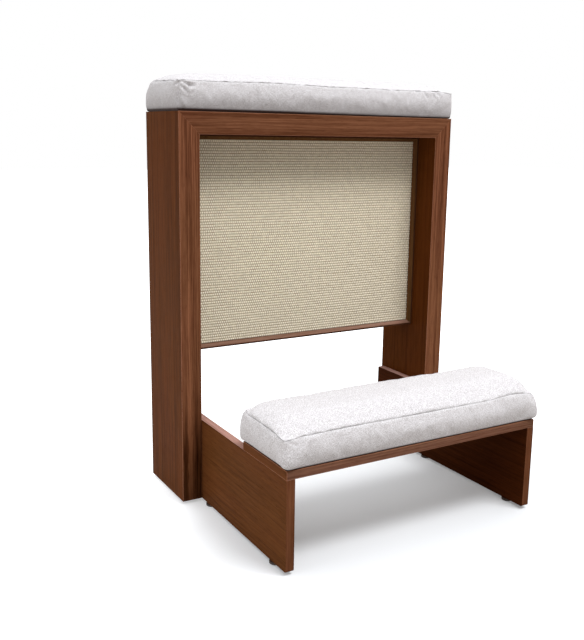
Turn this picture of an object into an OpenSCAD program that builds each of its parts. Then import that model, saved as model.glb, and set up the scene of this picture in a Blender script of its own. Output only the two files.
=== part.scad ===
// Kneeler with a padded arm-rest, a woven panel and a padded knee board.
// Millimetres, +Z up, +Y to the back. The origin lies on the floor, in the middle
// of the whole outline seen from above. Left is the -X side, seen by a person kneeling.

/* [Portal] */
// Width over both uprights
portal_width = 640; // [520:1:760]
// Height of the wood, from the bottom of the uprights to the top of the rail
portal_height = 760; // [640:1:900]
// Depth of the uprights and the rail, front to back
portal_depth = 168; // [150:1:220]
// Thickness of an upright
post_thickness = 41.5; // [36:0.5:50]
// Thickness of the top rail
rail_thickness = 41.5; // [36:0.5:50]

/* [Woven panel] */
// Height of the framed panel under the top rail
panel_height = 426.5; // [300:0.5:480]
// Thickness of the board inside the panel
core_thickness = 30; // [25:1:36]
// Thickness of the woven covering on each face
weave_thickness = 3; // [2:0.5:4]
// Thickness of the lipping where it meets the board's edge
lipping_thickness = 9.5; // [8:0.5:12]
// Width of the lipping's flat front edge
lipping_nose = 3.5; // [2:0.5:5]
// How far the lipping stands out in front of the weave
lipping_proud = 8; // [5:0.5:12]

/* [Knee board and its sides] */
// How far the knee board reaches in front of the uprights
kneeler_reach = 342; // [300:1:400]
// Thickness of a side panel
side_thickness = 16; // [15:0.5:20]
// Height of a side panel
side_height = 165; // [130:1:190]
// Gap from the rear end of a side panel to the back of the upright
side_rear_gap = 8; // [4:1:20]
// Rounding of a side panel's lower front corner
side_rounding = 4; // [2:0.5:8]
// Thickness of the knee board
board_thickness = 16; // [15:0.5:20]
// Depth of the knee board, front to back
board_depth = 160; // [150:1:200]

/* [Pads] */
// Height of the top seam over the wood, on both pads
seam_height = 57; // [48:1:65]
// Rise of the arm-rest pad's top over its seam
armrest_crown = 18; // [10:1:24]
// Rise of the knee pad's top over its seam
knee_crown = 20; // [10:1:24]
// How far the arm-rest pad's sides swell past its base outline
armrest_swell = 3; // [1:0.5:5]
// How far the knee pad's sides swell past its base outline
knee_swell = 4.5; // [1:0.5:6]
// Distance from the edge of the wood to the pad's base outline
pad_inset = 1.5; // [0.5:0.5:4]
// Radius of a pad's corners seen from above
pad_corner = 10; // [6:1:16]
// How far the top corners are drawn in by the corner seams
corner_draw = 8; // [3:1:12]
// How far the top seam is drawn in along the sides
seam_draw = 1.5; // [0.5:0.5:3]
// Height of the rolled lower edge, which leaves a shadow line over the wood
roll_height = 2.5; // [1.5:0.5:4]
// How far the rolled lower edge runs in under the pad
roll_depth = 5; // [3:0.5:8]
// Thickness of the plywood base in each pad
base_thickness = 12; // [10:1:15]
// Thickness of the cover with its wadding
cover_thickness = 5; // [4:0.5:7]
// Thickness of the cover where it is turned in under the base
turn_in_thickness = 1.5; // [1:0.5:2]
// Width of the turned-in cover under the base
turn_in_width = 20; // [12:1:24]
// Thickness of the dust cloth under the base
dust_thickness = 1.2; // [0.8:0.1:1.4]

/* [Fasteners] */
// Diameter of the beech dowels
dowel_diameter = 8; // [6:1:10]
// Length of the dowels across each mitre
mitre_dowel_length = 28; // [20:1:32]
// Length of the dowels between the panel and the portal
panel_dowel_length = 36; // [30:1:40]
// Length of the dowels between the knee board and its sides
board_dowel_length = 30; // [24:1:36]
// Depth of a dowel's hole in the knee board
board_dowel_depth = 11; // [8:1:13]
// Shank diameter of the screws in the side panels
side_screw_diameter = 4.5; // [4:0.5:5]
// Length of the screws in the side panels
side_screw_length = 40; // [30:1:45]
// Shank diameter of the screws that hold the pads
pad_screw_diameter = 5; // [4:0.5:6]
// How far a pad screw goes into the plywood base
pad_screw_bite = 9; // [6:0.5:10]
// Depth of the screw pockets in the underside of the top rail
pocket_depth = 22; // [15:1:26]
// Diameter of the screw pockets in the top rail
pocket_diameter = 12; // [11:0.5:16]

/* [Levelling glides] */
// Gap between the wood and the floor
floor_gap = 6; // [5.5:0.5:12]
// Diameter of a glide's foot
glide_diameter = 22; // [18:1:26]
// Height of a glide's foot
foot_height = 5; // [4:0.5:5]
// Diameter of a glide's threaded stem
stem_diameter = 6; // [5:1:6]
// Length of a glide's stem above its foot
stem_length = 24; // [20:1:30]
// Outer diameter of the threaded inserts
insert_diameter = 9; // [8.5:0.5:10]
// Length of the threaded inserts
insert_length = 13; // [10:1:16]
// Distance from the front of a side panel to its front glide
front_glide_inset = 50; // [30:1:80]
// Distance from the uprights' front to the glide before them
middle_glide_inset = 28; // [20:1:60]
// Distance from an upright's front or back to its glides
post_glide_inset = 28; // [20:1:40]

/* [Hidden] */

$fn = 48;

walnut = [0.45, 0.27, 0.19];
walnut_side = [0.36, 0.22, 0.15];
beech = [0.80, 0.66, 0.47];
plywood = [0.76, 0.62, 0.42];
foam_yellow = [0.93, 0.88, 0.70];
linen = [0.86, 0.85, 0.84];
weave_cream = [0.80, 0.76, 0.64];
dust_black = [0.12, 0.12, 0.12];
zinc = [0.72, 0.73, 0.74];
nylon_dark = [0.13, 0.12, 0.12];

// Play between a dowel, screw or insert and its hole, on the radius
hole_play = 0.05;
// Play between foam, base and cover
soft_play = 0.3;
// Overrun of every cut past a face
over = 1;

// Places of the portal and the knee board
armrest_overhang = armrest_swell - pad_inset;
knee_overhang = knee_swell - pad_inset;
portal_front = (kneeler_reach + knee_overhang - portal_depth - armrest_overhang) / 2;
portal_back = portal_front + portal_depth;
portal_middle = portal_front + portal_depth / 2;
kneeler_front = portal_front - kneeler_reach;
wood_bottom = floor_gap;
wood_top = wood_bottom + portal_height;
rail_bottom = wood_top - rail_thickness;
inner_half = portal_width / 2 - post_thickness;

// Places of the woven panel
panel_depth = core_thickness + 2 * weave_thickness + 2 * lipping_proud;
panel_bottom = rail_bottom - panel_height;
core_half = inner_half - lipping_thickness;
core_bottom = panel_bottom + lipping_thickness;
core_top = rail_bottom - lipping_thickness;
core_face = core_thickness / 2;
weave_face = core_face + weave_thickness;

// Places of the side panels and the knee board
side_inner = inner_half - side_thickness;
side_top = wood_bottom + side_height;
side_back = portal_back - side_rear_gap;
board_top = side_top + board_thickness;
board_middle = kneeler_front + board_depth / 2;

// Places of dowels and screws, as shares of the piece that carries them
mitre_dowel_shares = [0.2, 0.5, 0.8];
panel_dowel_shares = [0.12, 0.5, 0.88];
board_dowel_shares = [0.18, 0.5, 0.82];
side_screw_depth_shares = [0.3, 0.7];
side_screw_height_shares = [0.25, 0.75];
pad_screw_length_shares = [0.12, 0.5, 0.88];
armrest_screw_depth_shares = [0.2, 0.8];
knee_screw_depth_shares = [0.25, 0.75];
dowel_chamfer_share = 0.12;

// Screw heads: width and height as shares of the shank's diameter
sunk_head_share = 1.9;
pan_head_share = 2;
pan_height_share = 0.6;
drive_width_share = 0.8;
drive_depth_share = 0.35;
point_share = 1.2;

// Glides
stem_play = 0.08;
stem_top_play = 2;
foot_edge_share = 0.3;
foot_top_share = 0.8;
stem_socket_share = 0.4;

// Pads: counts of the outline's steps in a quarter, and the levels of the rings
cover_end_steps = 3;
cover_corner_steps = 4;
cover_long_steps = 5;
foam_end_steps = 1;
foam_corner_steps = 4;
foam_long_steps = 3;
cover_level_shares = [0.2, 0.45, 0.7, 0.88, 1];
foam_level_shares = [0.28, 0.65, 1];
cover_top_shares = [0.06, 0.18, 0.34, 0.55, 0.78, 0.93];
foam_top_shares = [0.15, 0.45, 0.85];
// Share of the crown that is lost towards the pad's ends
end_drop_share = 0.2;
// The foam's corners are cut rounder than the cover's
foam_corner_share = 2.2;
// The base's corners are rounder still, clear of the cover's flat facets
base_corner_share = 2.6;

// A dowel with chamfered ends, along Z, with its middle at the origin
module dowel(length) {
    radius = dowel_diameter / 2;
    chamfer = dowel_diameter * dowel_chamfer_share;
    rotate_extrude()
        polygon([[0, -length / 2], [radius - chamfer, -length / 2],
            [radius, chamfer - length / 2], [radius, length / 2 - chamfer],
            [radius - chamfer, length / 2], [0, length / 2]]);
}

// The hole for a dowel, along Z, with its middle at the origin
module dowel_hole(length) {
    cylinder(d = dowel_diameter + 2 * hole_play, h = length + 2 * hole_play, center = true);
}

// A countersunk screw along +Z, with the face of its head at the origin
module sunk_screw(diameter, length) {
    head = diameter * sunk_head_share / 2;
    shank = diameter / 2;
    point = diameter * point_share;
    difference() {
        rotate_extrude()
            polygon([[0, 0], [head, 0], [shank, head - shank],
                [shank, length - point], [0, length]]);
        translate([0, 0, -over])
            cylinder(d = diameter * drive_width_share,
                h = diameter * drive_depth_share + over, $fn = 6);
    }
}

// The clearance for a countersunk screw of that size
module sunk_hole(diameter, length) {
    head = diameter * sunk_head_share / 2;
    shank = diameter / 2;
    rotate_extrude()
        polygon([[0, -over], [head + over + hole_play, -over],
            [shank + hole_play, head - shank + hole_play / 2],
            [shank + hole_play, length + hole_play], [0, length + hole_play]]);
}

// A pan-head screw along +Z, with the underside of its head at the origin
module pan_screw(diameter, length) {
    head = diameter * pan_head_share / 2;
    height = diameter * pan_height_share;
    shank = diameter / 2;
    point = diameter * point_share;
    difference() {
        rotate_extrude()
            polygon([[0, -height], [head - height / 2, -height], [head, -height / 2],
                [head, 0], [shank, 0], [shank, length - point], [0, length]]);
        translate([0, 0, -height - over])
            cylinder(d = diameter * drive_width_share,
                h = diameter * drive_depth_share + over, $fn = 6);
    }
}

// Where the three mitre dowels of the left corner lie
module at_mitre_dowels() {
    turn = atan2(rail_thickness, post_thickness);
    for (share = mitre_dowel_shares)
        translate([(post_thickness - portal_width) / 2,
            portal_front + share * portal_depth, wood_top - rail_thickness / 2])
            rotate([0, turn, 0])
                children();
}

// Where the panel's dowels cross into the left upright
module at_side_panel_dowels() {
    for (share = panel_dowel_shares)
        translate([-inner_half, portal_middle, panel_bottom + share * panel_height])
            rotate([0, 90, 0])
                children();
}

// Where the panel's dowels cross into the top rail
module at_top_panel_dowels() {
    for (share = panel_dowel_shares)
        translate([(2 * share - 1) * inner_half, portal_middle, rail_bottom])
            children();
}

// Where the screws go through the left side panel into the left upright
module at_side_screws() {
    for (depth = side_screw_depth_shares, height = side_screw_height_shares)
        translate([-side_inner, portal_front + depth * portal_depth,
            wood_bottom + height * side_height])
            rotate([0, -90, 0])
                children();
}

// Where the knee board's dowels stand in the left side panel
module at_board_dowels() {
    for (share = board_dowel_shares)
        translate([side_thickness / 2 - inner_half, kneeler_front + share * board_depth,
            side_top + board_dowel_depth - board_dowel_length / 2])
            children();
}

// Where the arm-rest screws bear on the floor of their pockets
module at_armrest_screws() {
    for (along = pad_screw_length_shares, deep = armrest_screw_depth_shares)
        translate([(along - 0.5) * 2 * inner_half, portal_front + deep * portal_depth,
            rail_bottom + pocket_depth])
            children();
}

// Where the knee pad's screws bear on the underside of the knee board
module at_knee_pad_screws() {
    for (along = pad_screw_length_shares, deep = knee_screw_depth_shares)
        translate([(along - 0.5) * 2 * inner_half, kneeler_front + deep * board_depth, side_top])
            children();
}

// Places of the glides, each with its side: -1 is left and 1 is right
side_glide_x = inner_half - side_thickness / 2;
post_glide_x = (portal_width - post_thickness) / 2;
front_glide_y = kneeler_front + front_glide_inset;
middle_glide_y = portal_front - middle_glide_inset;
post_glide_y = portal_front + post_glide_inset;
rear_glide_y = portal_back - post_glide_inset;
stem_hole_depth = stem_length - (floor_gap - foot_height) + stem_top_play;

// The stepped hole for an insert and the stem above it, from the wood's bottom upwards
module glide_hole(x, y) {
    translate([x, y, wood_bottom - over]) {
        cylinder(d = insert_diameter + 2 * hole_play, h = insert_length + hole_play + over);
        cylinder(d = stem_diameter + 2 * stem_play, h = stem_hole_depth + over);
    }
}

// An upright, drawn as the left one, with its top cut to the mitre
module upright_body() {
    difference() {
        translate([0, portal_back, 0])
            rotate([90, 0, 0])
                linear_extrude(height = portal_depth)
                    polygon([[-portal_width / 2, wood_bottom], [-inner_half, wood_bottom],
                        [-inner_half, rail_bottom], [-portal_width / 2, wood_top]]);
        at_mitre_dowels()
            dowel_hole(mitre_dowel_length);
        at_side_panel_dowels()
            dowel_hole(panel_dowel_length);
        at_side_screws()
            sunk_hole(side_screw_diameter, side_screw_length);
        glide_hole(-post_glide_x, post_glide_y);
        glide_hole(-post_glide_x, rear_glide_y);
    }
}

module left_upright() {
    color(walnut)
        upright_body();
}

module right_upright() {
    color(walnut)
        mirror([1, 0, 0])
            upright_body();
}

// The top rail, mitred at both ends, with pockets in its underside for the pad's screws
module top_rail() {
    color(walnut)
        difference() {
            translate([0, portal_back, 0])
                rotate([90, 0, 0])
                    linear_extrude(height = portal_depth)
                        polygon([[-inner_half, rail_bottom], [inner_half, rail_bottom],
                            [portal_width / 2, wood_top], [-portal_width / 2, wood_top]]);
            at_mitre_dowels()
                dowel_hole(mitre_dowel_length);
            mirror([1, 0, 0])
                at_mitre_dowels()
                    dowel_hole(mitre_dowel_length);
            at_top_panel_dowels()
                dowel_hole(panel_dowel_length);
            at_armrest_screws() {
                translate([0, 0, -pocket_depth - over])
                    cylinder(d = pocket_diameter, h = pocket_depth + over);
                cylinder(d = pad_screw_diameter + 2 * hole_play, h = rail_thickness);
            }
        }
}

module mitre_dowels() {
    color(beech)
        for (side = [0, 1])
            mirror([side, 0, 0])
                at_mitre_dowels()
                    dowel(mitre_dowel_length);
}

// The board inside the panel
module panel_core() {
    color(plywood)
        difference() {
            translate([-core_half, portal_middle - core_face, core_bottom])
                cube([2 * core_half, core_thickness, core_top - core_bottom]);
            for (side = [0, 1])
                mirror([side, 0, 0])
                    at_side_panel_dowels()
                        dowel_hole(panel_dowel_length);
            at_top_panel_dowels()
                dowel_hole(panel_dowel_length);
        }
}

// One woven covering, from its inner face outwards along +Y
module weave_sheet() {
    color(weave_cream)
        translate([-core_half, 0, core_bottom])
            cube([2 * core_half, weave_thickness, core_top - core_bottom]);
}

module woven_front() {
    translate([0, portal_middle - weave_face, 0])
        weave_sheet();
}

module woven_back() {
    translate([0, portal_middle + core_face, 0])
        weave_sheet();
}

// The lipping's section: X runs in from the outer face, Y along the panel's depth
module lipping_section() {
    half = panel_depth / 2;
    polygon([[0, -half], [lipping_nose, -half], [lipping_thickness, -weave_face],
        [lipping_thickness, weave_face], [lipping_nose, half], [0, half]]);
}

// A lipping along +Z from the origin, mitred at both ends against its neighbours
module lipping_piece(length) {
    reach = lipping_thickness + over;
    half = panel_depth / 2 + over;
    difference() {
        linear_extrude(height = length)
            lipping_section();
        translate([0, half, 0])
            rotate([90, 0, 0])
                linear_extrude(height = 2 * half)
                    polygon([[-over, -over], [reach, -over], [reach, reach], [0, 0], [-over, 0]]);
        translate([0, half, 0])
            rotate([90, 0, 0])
                linear_extrude(height = 2 * half)
                    polygon([[-over, length + over], [reach, length + over],
                        [reach, length - reach], [0, length], [-over, length]]);
    }
}

module lipping_left_body() {
    difference() {
        translate([-inner_half, portal_middle, panel_bottom])
            lipping_piece(panel_height);
        at_side_panel_dowels()
            dowel_hole(panel_dowel_length);
    }
}

module lipping_left() {
    color(walnut)
        lipping_left_body();
}

module lipping_right() {
    color(walnut)
        mirror([1, 0, 0])
            lipping_left_body();
}

module lipping_bottom() {
    color(walnut)
        translate([inner_half, portal_middle, panel_bottom])
            rotate([0, -90, 0])
                lipping_piece(2 * inner_half);
}

module lipping_top() {
    color(walnut)
        difference() {
            translate([-inner_half, portal_middle, rail_bottom])
                rotate([0, 90, 0])
                    lipping_piece(2 * inner_half);
            at_top_panel_dowels()
                dowel_hole(panel_dowel_length);
        }
}

module panel_dowels() {
    color(beech) {
        for (side = [0, 1])
            mirror([side, 0, 0])
                at_side_panel_dowels()
                    dowel(panel_dowel_length);
        at_top_panel_dowels()
            dowel(panel_dowel_length);
    }
}

// What the rounding takes off the lower front corner of the left side panel
module lower_front_corner() {
    translate([-inner_half - over, kneeler_front, wood_bottom])
        difference() {
            translate([0, -over, -over])
                cube([side_thickness + 2 * over, side_rounding + over, side_rounding + over]);
            translate([-over, side_rounding, side_rounding])
                rotate([0, 90, 0])
                    cylinder(r = side_rounding, h = side_thickness + 2 * over + 2 * over);
        }
}

// A side panel, drawn as the left one: its outer face lies on the upright
module kneeler_side_body() {
    difference() {
        translate([-inner_half, kneeler_front, wood_bottom])
            cube([side_thickness, side_back - kneeler_front, side_height]);
        lower_front_corner();
        at_side_screws()
            sunk_hole(side_screw_diameter, side_screw_length);
        at_board_dowels()
            dowel_hole(board_dowel_length);
        glide_hole(-side_glide_x, front_glide_y);
        glide_hole(-side_glide_x, middle_glide_y);
    }
}

module left_kneeler_side() {
    color(walnut_side)
        kneeler_side_body();
}

module right_kneeler_side() {
    color(walnut_side)
        mirror([1, 0, 0])
            kneeler_side_body();
}

module side_screws() {
    color(zinc)
        for (side = [0, 1])
            mirror([side, 0, 0])
                at_side_screws()
                    sunk_screw(side_screw_diameter, side_screw_length);
}

module knee_board() {
    color(walnut)
        difference() {
            translate([-inner_half, kneeler_front, side_top])
                cube([2 * inner_half, board_depth, board_thickness]);
            for (side = [0, 1])
                mirror([side, 0, 0])
                    at_board_dowels()
                        dowel_hole(board_dowel_length);
            at_knee_pad_screws()
                translate([0, 0, -over])
                    cylinder(d = pad_screw_diameter + 2 * hole_play,
                        h = board_thickness + 2 * over);
        }
}

module board_dowels() {
    color(beech)
        for (side = [0, 1])
            mirror([side, 0, 0])
                at_board_dowels()
                    dowel(board_dowel_length);
}

// Steps from a to b, with the last one left out
function steps(a, b, count) = [for (i = [0 : count - 1]) a + (b - a) * i / count];

// A quarter of a rounded outline, from the middle of the end to just before the middle
// of the long side. Each point is [x, y, x of the normal, y of the normal, swell]
function quarter(hx, hy, r, end_n, corner_n, long_n) = concat(
    [for (y = steps(0, hy - r, end_n)) [hx, y, 1, 0, 1 - pow(y / hy, 2)]],
    [for (turn = steps(0, 90, corner_n))
        [hx - r + r * cos(turn), hy - r + r * sin(turn), cos(turn), sin(turn), 0]],
    [for (x = steps(hx - r, 0, long_n)) [x, hy, 0, 1, 1 - pow(x / hx, 4)]]);

// The whole outline: the quarter, and its three mirrored copies
function mirrored_x(list) = [for (i = [1 : len(list) - 1])
    let (p = list[len(list) - i]) [-p[0], p[1], -p[2], p[3], p[4]]];
function outline(hx, hy, r, end_n, corner_n, long_n) =
    let (first = quarter(hx, hy, r, end_n, corner_n, long_n),
        half = concat(first, [[0, hy, 0, 1, 1]], mirrored_x(first), [[-hx, 0, -1, 0, 1]]))
    concat(half, [for (i = [2 : len(half) - 1])
        let (p = half[len(half) - i]) [p[0], -p[1], p[2], -p[3], p[4]]]);

// Points of a ring at one height: the outline moved in by a distance and out by the swell
function side_ring(points, inset, corner_inset, swell, z) = [for (p = points)
    let (move = swell * p[4] - inset - corner_inset * (1 - p[4]))
    [p[0] + p[2] * move, p[1] + p[3] * move, z]];

// The faces of a closed form made of rings of n points, the first ring at the bottom.
// A cap has strips across it and a fan over each straight end, whose points, end_n of them
// on either side of its middle, lie in one line
function cap_faces(n, start, up, end_n) =
    let (edge = end_n + 1, far = n / 2,
        near_fan = [for (i = [-edge : end_n - 1]) [edge, (i + n) % n, (i + 1 + n) % n]],
        strips = [for (i = [edge : far - edge - 1])
            each [[i, i + 1, n - i - 1], [i, n - i - 1, n - i]]],
        far_fan = [for (i = [far - end_n : far + end_n]) [far - edge, i, i + 1]])
    [for (f = concat(near_fan, strips, far_fan))
        up ? [start + f[0], start + f[1], start + f[2]]
            : [start + f[0], start + f[2], start + f[1]]];
function wall_faces(n, rings) = [for (k = [0 : rings - 2], i = [0 : n - 1])
    let (a = k * n + i, b = k * n + (i + 1) % n)
    each [[a, b, b + n], [a, b + n, a + n]]];
function turned(faces) = [for (f = faces) [f[0], f[2], f[1]]];

// A boxed pad on a rectangle: rolled lower edge, swelling sides, drawn-in seam and crown
module pad_form(half_x, half_y, corner, bottom, seam, crown, swell, draw, corner_in,
    roll_in, roll_up, counts, level_shares, top_shares) {
    base = outline(half_x, half_y, corner, counts[0], counts[1], counts[2]);
    n = len(base);
    foot = roll_in > 0 ? [side_ring(base, roll_in, 0, 0, bottom)] : [];
    low = bottom + roll_up;
    sides = concat([side_ring(base, 0, 0, 0, low)], [for (t = level_shares)
        side_ring(base, draw * t * t, corner_in * t * t * t, swell * 4 * t * (1 - t),
            low + (seam - low) * t)]);
    shrink_x = half_x - draw;
    shrink_y = half_y - draw;
    tops = [for (u = top_shares)
        let (inset = shrink_y * u, hx = shrink_x - inset, hy = shrink_y - inset,
            ring = outline(hx, hy, min(corner + corner_in, hy / 2),
                counts[0], counts[1], counts[2]))
        [for (p = ring) [p[0], p[1], seam + crown * (1 - pow(1 - u, 2))
            * (1 - end_drop_share * pow(p[0] / half_x, 2))]]];
    rings = concat(foot, sides, tops);
    faces = concat(cap_faces(n, 0, false, counts[0]), wall_faces(n, len(rings)),
        cap_faces(n, (len(rings) - 1) * n, true, counts[0]));
    polyhedron(points = [for (ring = rings) each ring], faces = turned(faces), convexity = 4);
}

// The outer form of a pad on a board of half_x by half_y whose top lies at bottom
module pad_outside(half_x, half_y, bottom, crown, swell) {
    pad_form(half_x - pad_inset, half_y - pad_inset, pad_corner, bottom, bottom + seam_height,
        crown, swell, seam_draw, corner_draw, roll_depth, roll_height,
        [cover_end_steps, cover_corner_steps, cover_long_steps],
        cover_level_shares, cover_top_shares);
}

// The foam with the space for the base below it, smaller by the gap on every side
module pad_inside(half_x, half_y, bottom, crown, gap) {
    inset = pad_inset + cover_thickness + gap;
    pad_form(half_x - inset, half_y - inset, pad_corner * foam_corner_share, bottom,
        bottom + seam_height - turn_in_thickness - cover_thickness - 2 * gap, crown, 0, 0,
        corner_draw, 0, 0, [foam_end_steps, foam_corner_steps, foam_long_steps],
        foam_level_shares, foam_top_shares);
}

// A square-cornered plate under a pad, centred on the origin
module pad_plate(half_x, half_y, inset, bottom, thickness) {
    translate([inset - half_x, inset - half_y, bottom])
        cube([2 * (half_x - inset), 2 * (half_y - inset), thickness]);
}

// The plywood base of a pad, centred on the origin, with rounded corners
module pad_base(half_x, half_y, bottom) {
    radius = pad_corner * base_corner_share;
    x = half_x - base_inset;
    y = half_y - base_inset;
    translate([0, 0, bottom]) {
        translate([-x, radius - y, 0])
            cube([2 * x, 2 * (y - radius), base_thickness]);
        translate([radius - x, -y, 0])
            cube([2 * (x - radius), 2 * y, base_thickness]);
        for (side = [-1, 1], end = [-1, 1])
            translate([side * (x - radius), end * (y - radius), 0])
                cylinder(r = radius, h = base_thickness);
    }
}

// Half sizes of both pads' seats, and the heights inside a pad over its seat
armrest_half_x = portal_width / 2;
armrest_half_y = portal_depth / 2;
knee_half_x = inner_half;
knee_half_y = board_depth / 2;
base_inset = pad_inset + cover_thickness + soft_play;
base_lift = turn_in_thickness;
foam_lift = base_lift + base_thickness;

// The cover with its wadding: the pad's skin, turned in under the base
module pad_cover(half_x, half_y, seat, crown, swell) {
    color(linen)
        difference() {
            pad_outside(half_x, half_y, seat, crown, swell);
            pad_inside(half_x, half_y, seat + turn_in_thickness, crown, 0);
            pad_plate(half_x, half_y, base_inset + turn_in_width, seat - over,
                turn_in_thickness + 2 * over);
        }
}

module pad_foam(half_x, half_y, seat, crown) {
    color(foam_yellow)
        difference() {
            pad_inside(half_x, half_y, seat + turn_in_thickness + soft_play, crown, soft_play);
            pad_plate(half_x, half_y, 0, seat, foam_lift);
        }
}

// The hole in a base or a dust cloth for a pad screw of that length
module pad_screw_hole(length) {
    cylinder(d = pad_screw_diameter + 2 * hole_play, h = length + hole_play);
}

module armrest_base() {
    color(plywood)
        difference() {
            translate([0, portal_middle, 0])
                pad_base(armrest_half_x, armrest_half_y, wood_top + base_lift);
            at_armrest_screws()
                pad_screw_hole(armrest_screw_length);
        }
}

armrest_screw_length = rail_thickness - pocket_depth + base_lift + pad_screw_bite;
knee_screw_length = board_thickness + base_lift + pad_screw_bite;

module armrest_foam() {
    translate([0, portal_middle, 0])
        pad_foam(armrest_half_x, armrest_half_y, wood_top, armrest_crown);
}

module armrest_cover() {
    translate([0, portal_middle, 0])
        pad_cover(armrest_half_x, armrest_half_y, wood_top, armrest_crown, armrest_swell);
}

module armrest_dust_cloth() {
    color(dust_black)
        difference() {
            translate([0, portal_middle, 0])
                pad_plate(armrest_half_x, armrest_half_y,
                    base_inset + turn_in_width + soft_play, wood_top, dust_thickness);
            at_armrest_screws()
                pad_screw_hole(armrest_screw_length);
        }
}

module armrest_screws() {
    color(zinc)
        at_armrest_screws()
            pan_screw(pad_screw_diameter, armrest_screw_length);
}

module knee_pad_base() {
    color(plywood)
        difference() {
            translate([0, board_middle, 0])
                pad_base(knee_half_x, knee_half_y, board_top + base_lift);
            at_knee_pad_screws()
                pad_screw_hole(knee_screw_length);
        }
}

module knee_pad_foam() {
    translate([0, board_middle, 0])
        pad_foam(knee_half_x, knee_half_y, board_top, knee_crown);
}

module knee_pad_cover() {
    translate([0, board_middle, 0])
        pad_cover(knee_half_x, knee_half_y, board_top, knee_crown, knee_swell);
}

module knee_pad_dust_cloth() {
    color(dust_black)
        difference() {
            translate([0, board_middle, 0])
                pad_plate(knee_half_x, knee_half_y,
                    base_inset + turn_in_width + soft_play, board_top, dust_thickness);
            at_knee_pad_screws()
                pad_screw_hole(knee_screw_length);
        }
}

module knee_pad_screws() {
    color(zinc)
        at_knee_pad_screws()
            pan_screw(pad_screw_diameter, knee_screw_length);
}

// The threaded inserts that the glides' stems run in
module insert(x, y) {
    translate([x, y, wood_bottom])
        difference() {
            cylinder(d = insert_diameter, h = insert_length);
            translate([0, 0, -over])
                cylinder(d = stem_diameter + 2 * stem_play, h = insert_length + 2 * over);
        }
}

module glide_inserts() {
    color(zinc)
        for (side = [-1, 1]) {
            insert(side * side_glide_x, front_glide_y);
            insert(side * side_glide_x, middle_glide_y);
            insert(side * post_glide_x, post_glide_y);
            insert(side * post_glide_x, rear_glide_y);
        }
}

// The nylon foot of a glide, with a blind socket for its stem
module foot(x, y) {
    radius = glide_diameter / 2;
    socket = foot_height * stem_socket_share;
    color(nylon_dark)
        translate([x, y, 0])
            difference() {
                rotate_extrude()
                    polygon([[0, 0], [radius * foot_top_share, 0],
                        [radius, foot_height * foot_edge_share], [radius, foot_height],
                        [0, foot_height]]);
                translate([0, 0, socket])
                    cylinder(d = stem_diameter + 2 * hole_play, h = foot_height);
            }
}

// The steel stem of a glide
module stem(x, y) {
    socket = foot_height * stem_socket_share;
    color(zinc)
        translate([x, y, socket])
            cylinder(d = stem_diameter, h = stem_length + foot_height - socket);
}

module foot_front_left() foot(-side_glide_x, front_glide_y);
module foot_front_right() foot(side_glide_x, front_glide_y);
module foot_middle_left() foot(-side_glide_x, middle_glide_y);
module foot_middle_right() foot(side_glide_x, middle_glide_y);
module foot_post_left() foot(-post_glide_x, post_glide_y);
module foot_post_right() foot(post_glide_x, post_glide_y);
module foot_rear_left() foot(-post_glide_x, rear_glide_y);
module foot_rear_right() foot(post_glide_x, rear_glide_y);
module stem_front_left() stem(-side_glide_x, front_glide_y);
module stem_front_right() stem(side_glide_x, front_glide_y);
module stem_middle_left() stem(-side_glide_x, middle_glide_y);
module stem_middle_right() stem(side_glide_x, middle_glide_y);
module stem_post_left() stem(-post_glide_x, post_glide_y);
module stem_post_right() stem(post_glide_x, post_glide_y);
module stem_rear_left() stem(-post_glide_x, rear_glide_y);
module stem_rear_right() stem(post_glide_x, rear_glide_y);

left_upright();
right_upright();
top_rail();
mitre_dowels();
panel_core();
woven_front();
woven_back();
lipping_top();
lipping_bottom();
lipping_left();
lipping_right();
panel_dowels();
left_kneeler_side();
right_kneeler_side();
side_screws();
knee_board();
board_dowels();
armrest_base();
armrest_foam();
armrest_cover();
armrest_dust_cloth();
armrest_screws();
knee_pad_base();
knee_pad_foam();
knee_pad_cover();
knee_pad_dust_cloth();
knee_pad_screws();
glide_inserts();
foot_front_left();
foot_front_right();
foot_middle_left();
foot_middle_right();
foot_post_left();
foot_post_right();
foot_rear_left();
foot_rear_right();
stem_front_left();
stem_front_right();
stem_middle_left();
stem_middle_right();
stem_post_left();
stem_post_right();
stem_rear_left();
stem_rear_right();
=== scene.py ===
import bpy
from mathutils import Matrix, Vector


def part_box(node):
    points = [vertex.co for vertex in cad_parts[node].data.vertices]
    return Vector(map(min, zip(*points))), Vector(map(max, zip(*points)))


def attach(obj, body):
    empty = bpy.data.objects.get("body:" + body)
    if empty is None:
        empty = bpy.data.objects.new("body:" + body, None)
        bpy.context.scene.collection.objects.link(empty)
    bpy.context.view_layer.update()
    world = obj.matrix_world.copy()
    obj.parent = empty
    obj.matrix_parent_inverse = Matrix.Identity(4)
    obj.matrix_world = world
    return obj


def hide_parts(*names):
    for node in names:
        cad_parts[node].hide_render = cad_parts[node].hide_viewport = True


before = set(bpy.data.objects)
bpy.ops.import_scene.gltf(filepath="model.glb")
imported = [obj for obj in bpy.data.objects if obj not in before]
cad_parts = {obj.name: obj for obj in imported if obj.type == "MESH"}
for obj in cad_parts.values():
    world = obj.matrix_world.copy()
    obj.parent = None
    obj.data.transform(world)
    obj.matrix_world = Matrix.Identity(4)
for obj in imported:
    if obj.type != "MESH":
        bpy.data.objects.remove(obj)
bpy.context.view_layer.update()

import bpy
import bmesh
from math import cos, exp, hypot, pi, radians, sin
from mathutils import Matrix, Vector, noise

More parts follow.
